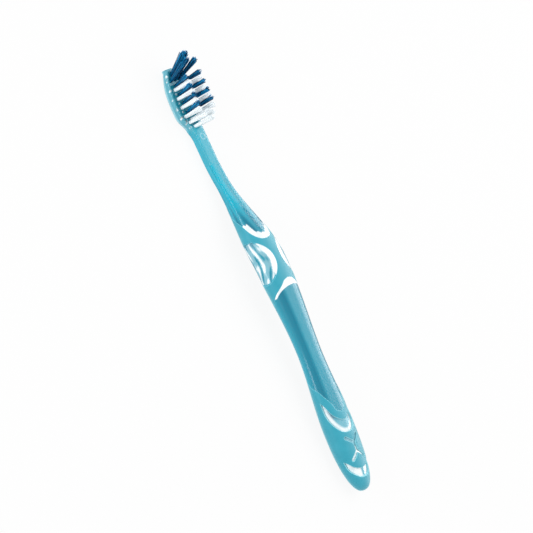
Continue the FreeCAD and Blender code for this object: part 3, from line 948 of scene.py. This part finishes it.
# Where the rubber is bonded to the clear body. It glows: painted light, standing in for light that reaches it
# through the clear plastic
bondedRubber = {
    "deep": srgb(120, 228, 238), "light": srgb(150, 238, 246), "scale": 160.0, "grain": (0.3, 1.0, 1.0),
    "roughness": 0.6, "paintedGlowColour": srgb(60, 222, 228), "glow": 0.5,
}


def bondMaterial():
    look = bondedRubber
    shader = Shader(bpy.data.materials.new("bondedRubber"))
    mottle = shader.noise(look["scale"], 3.0, look["grain"])
    surface = shader.principled({
        "Base Color": shader.mix(mottle, look["deep"], look["light"]), "Roughness": look["roughness"],
        # Painted light: a glow with no lamp behind it
        "Emission Color": look["paintedGlowColour"], "Emission Strength": look["glow"]})
    return shader.output({"Surface": surface})


nylon = {
    "scale": 700.0, "grain": (1.0, 1.0, 0.15), "spread": (0.15, 0.85), "streakShare": 0.15,
    "roughness": 0.32, "streakRoughness": 0.1,
    "blueNylon": {"dark": srgb(0, 40, 78), "light": srgb(4, 146, 204), "specular": 0.2, "glow": 0.0},
    # The white nylon glows a little: painted light that brightens it; the blue has no glow
    "whiteNylon": {"dark": srgb(222, 231, 236), "light": srgb(249, 252, 253), "specular": 0.4, "glow": 0.1},
}


def bristleMaterial(name):
    look = nylon[name]
    shader = Shader(bpy.data.materials.new(name))
    chance = shader.node("ShaderNodeNewGeometry", {}, {}, "Random Per Island").smooth(*nylon["spread"])
    streak = shader.noise(nylon["scale"], 2.0, nylon["grain"])
    share = chance * (1.0 - nylon["streakShare"]) + streak * nylon["streakShare"]
    # The glow that a colour may have is painted light
    surface = shader.principled({
        "Base Color": shader.mix(share, look["dark"], look["light"]),
        "Roughness": streak * nylon["streakRoughness"] + nylon["roughness"],
        "Specular IOR Level": look["specular"],
        "Emission Color": look["light"], "Emission Strength": look["glow"]})
    return shader.output({"Surface": surface})


anchorBrass = {
    "dark": srgb(196, 150, 96), "light": srgb(238, 232, 222), "scale": 900.0, "span": (0.35, 0.65),
    "roughness": 0.2, "wearRoughness": 0.2,
}


def anchorMaterial():
    look = anchorBrass
    shader = Shader(bpy.data.materials.new("anchorBrass"))
    wear = shader.noise(look["scale"], 3.0, evenly)
    surface = shader.principled({
        "Base Color": shader.mix(wear.smooth(*look["span"]), look["dark"], look["light"]), "Metallic": 1.0,
        "Roughness": wear * look["wearRoughness"] + look["roughness"]})
    return shader.output({"Surface": surface})


paleFloor = {
    "dark": (0.80, 0.80, 0.80, 1.0), "light": (0.82, 0.82, 0.82, 1.0), "scale": 3.0, "whiteShare": 0.9,
}


def floorMaterial():
    look = paleFloor
    shader = Shader(bpy.data.materials.new("paleFloor"))
    tone = shader.noise(look["scale"], 2.0, evenly)
    matte = shader.node("ShaderNodeBsdfDiffuse", {}, {"Color": shader.mix(tone, look["dark"], look["light"])})
    glow = shader.node("ShaderNodeEmission", {}, {"Color": white, "Strength": 1.0})
    return shader.output({"Surface": shader.layer(shader.directRay() * look["whiteShare"], matte, glow)})


clearBody(clearMaterial())
print("clear body made")
softGrip(rubberMaterial(), bondMaterial())
print("soft grip made")

chance = random.Random(11)
blueMaterial = bristleMaterial("blueNylon")
whiteMaterial = bristleMaterial("whiteNylon")
for place in tuftPlaces():
    if place[0].startswith(("tip", "blue")):
        bristleTuft(place, blueMaterial, chance)
    else:
        bristleTuft(place, whiteMaterial, chance)
print("tufts made")

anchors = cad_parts["tuft_anchors"]
anchors.data.materials.clear()
anchors.data.materials.append(anchorMaterial())
print("anchors dressed")


# Floor, light and camera

studio = {
    "floorSize": 6.0, "floorDrop": 0.0002, "world": 0.64, "viewElevation": 45.0, "slant": (0.41817, 0.90837),
    "aimStation": 90.3, "aimHeight": 6.95, "distance": 0.9, "fieldWidth": 0.2177, "sensor": 36.0,
}

# Place, aim, size and power of each lamp, and whether it lights matt surfaces or only adds gloss
lamps = {
    "topBox": ((0.0, 0.36, 0.66), (0.0, 0.0, 0.0), (0.8, 0.75), 3.3, True),
    "lowCard": ((-0.25, -0.66, 0.2), (0.0, 0.0, 0.01), (0.8, 0.3), 3.0, True),
    "glossStrip": ((0.0, 0.75, 0.28), (0.0, 0.0, 0.01), (1.2, 0.48), 7.5, False),
}

half, drop = studio["floorSize"] / 2, -studio["floorDrop"]
floorMesh = bpy.data.meshes.new("floor")
floorMesh.from_pydata([(-half, -half, drop), (half, -half, drop), (half, half, drop), (-half, half, drop)],
                      [], [(0, 1, 2, 3)])
floorMesh.materials.append(floorMaterial())
floor = bpy.data.objects.new("floor", floorMesh)
bpy.context.scene.collection.objects.link(floor)

sky = Shader(bpy.data.worlds.new("studio"))
strength = sky.directRay() * (1.0 - studio["world"]) + studio["world"]
light = sky.node("ShaderNodeBackground", {}, {"Color": white, "Strength": strength})
bpy.context.scene.world = sky.output({"Surface": light}, "ShaderNodeOutputWorld")


def areaLight(name, place, aim, size, power, lightsMatt):
    light = bpy.data.lights.new(name, "AREA")
    light.shape = "RECTANGLE"
    light.size, light.size_y = size
    light.energy = power
    lamp = bpy.data.objects.new(name, light)
    lamp.location = place
    lamp.rotation_euler = (Vector(aim) - Vector(place)).to_track_quat("-Z", "Y").to_euler()
    lamp.visible_diffuse = lightsMatt
    bpy.context.scene.collection.objects.link(lamp)


for name, values in lamps.items():
    areaLight(name, *values)

elevation = math.radians(studio["viewElevation"])
back = Vector((0.0, -math.cos(elevation), math.sin(elevation)))
side = Vector((0.0, math.sin(elevation), math.cos(elevation)))
lengthwise = Vector((1.0, 0.0, 0.0))
cosine, sine = studio["slant"]
right = cosine * lengthwise + sine * side
up = cosine * side - sine * lengthwise
lens = bpy.data.cameras.new("camera")
lens.sensor_width = studio["sensor"]
lens.lens = studio["sensor"] * studio["distance"] / studio["fieldWidth"]
camera = bpy.data.objects.new("camera", lens)
aim = Vector(((studio["aimStation"] + headTip) * mm, 0.0, studio["aimHeight"] * mm))
turnMatrix = Matrix((right, up, back)).transposed()
camera.matrix_world = Matrix.Translation(aim + back * studio["distance"]) @ turnMatrix.to_4x4()
bpy.context.scene.collection.objects.link(camera)
bpy.context.scene.camera = camera
bpy.context.scene.view_settings.view_transform = "Standard"
print("studio made")
